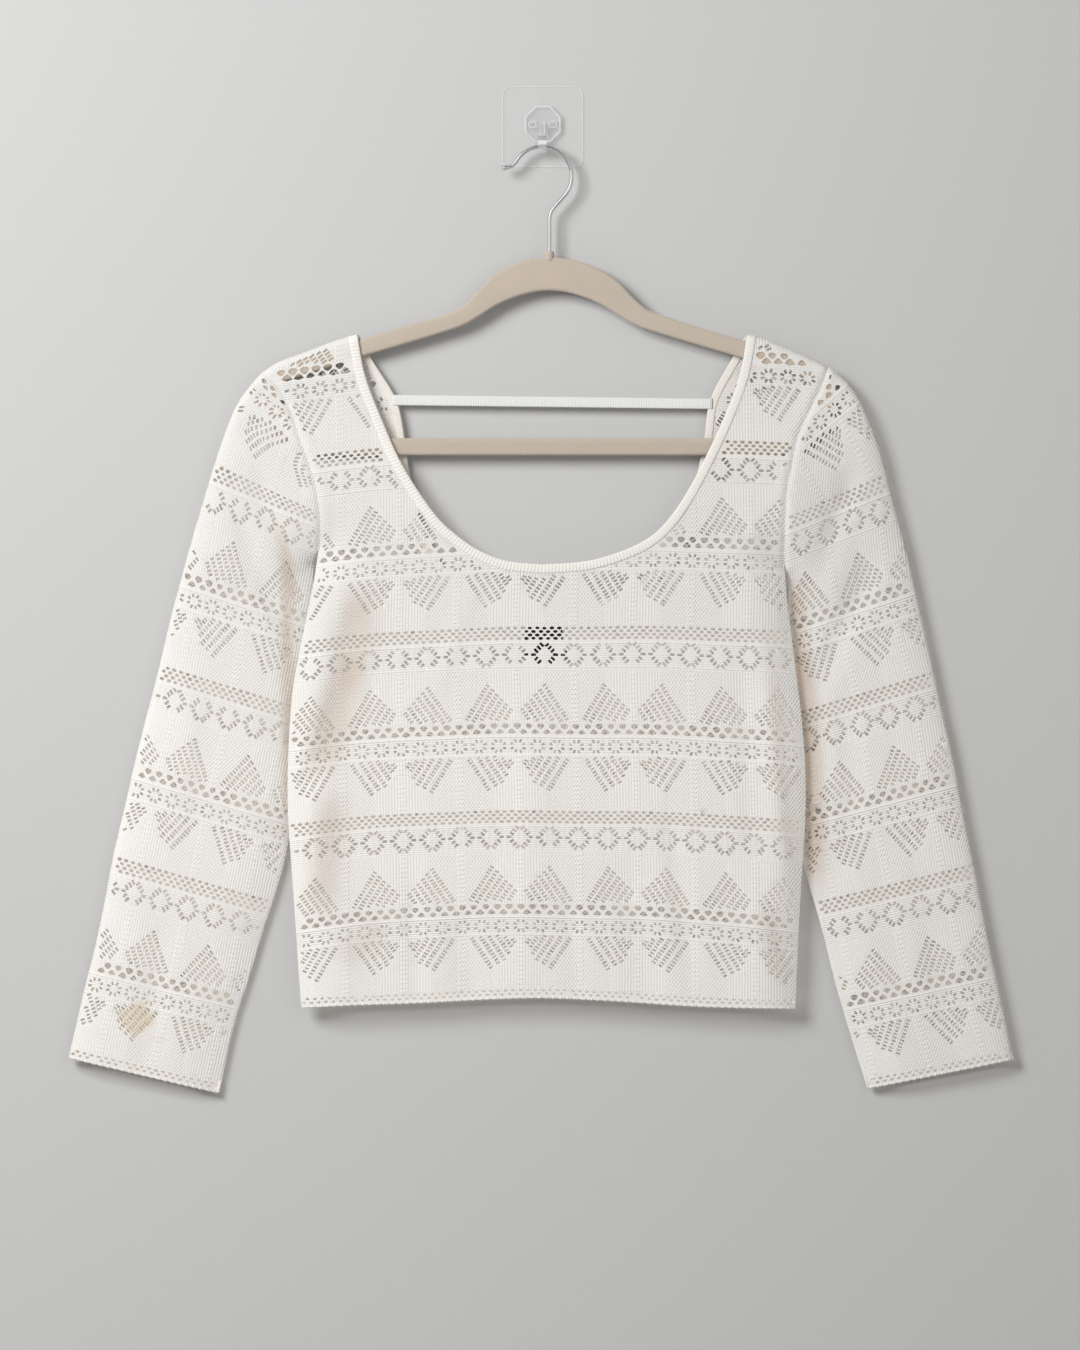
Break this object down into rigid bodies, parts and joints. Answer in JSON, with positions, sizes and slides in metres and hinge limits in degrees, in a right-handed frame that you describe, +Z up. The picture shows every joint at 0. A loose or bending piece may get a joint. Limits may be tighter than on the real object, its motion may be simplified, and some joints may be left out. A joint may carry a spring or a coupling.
{
  "type": "crochet top on a hanger and wall hook",
  "caption": "Long-sleeved openwork knit top with a deep scoop neck, hung flat on a velvet hanger from a clear wall hook.",
  "frame": {"origin": "centre of the adhesive plate's back face, on the wall", "axes": "+Z up along the wall, +X to the right as one faces the wall, +Y into the wall"},
  "size_m": [0.7114, 0.0238, 0.7561],
  "materials": {
    "knit": "matt cream cotton lace knit",
    "tape": "matt cream plain tape",
    "elastic": "smooth white flat strap",
    "label": "matt black woven, blank",
    "velvet": "beige velvet flock over plastic",
    "chrome": "bright wire",
    "clear_plastic": "clear moulded plastic"
  },
  "bodies": {
    "root": {"front_panel": "knit", "back_panel": "knit", "sleeve_L_front": "knit", "sleeve_L_back": "knit", "sleeve_R_front": "knit", "sleeve_R_back": "knit", "cuff_L": "knit", "cuff_R": "knit", "hem_front": "knit", "hem_back": "knit", "neck_binding_front": "knit", "neck_binding_back": "tape", "back_strap": "elastic", "neck_label": "label", "hanger_body": "velvet", "hanger_hook": "chrome", "wall_plate": "clear_plastic", "wall_hook": "clear_plastic"}
  },
  "joints": []
}
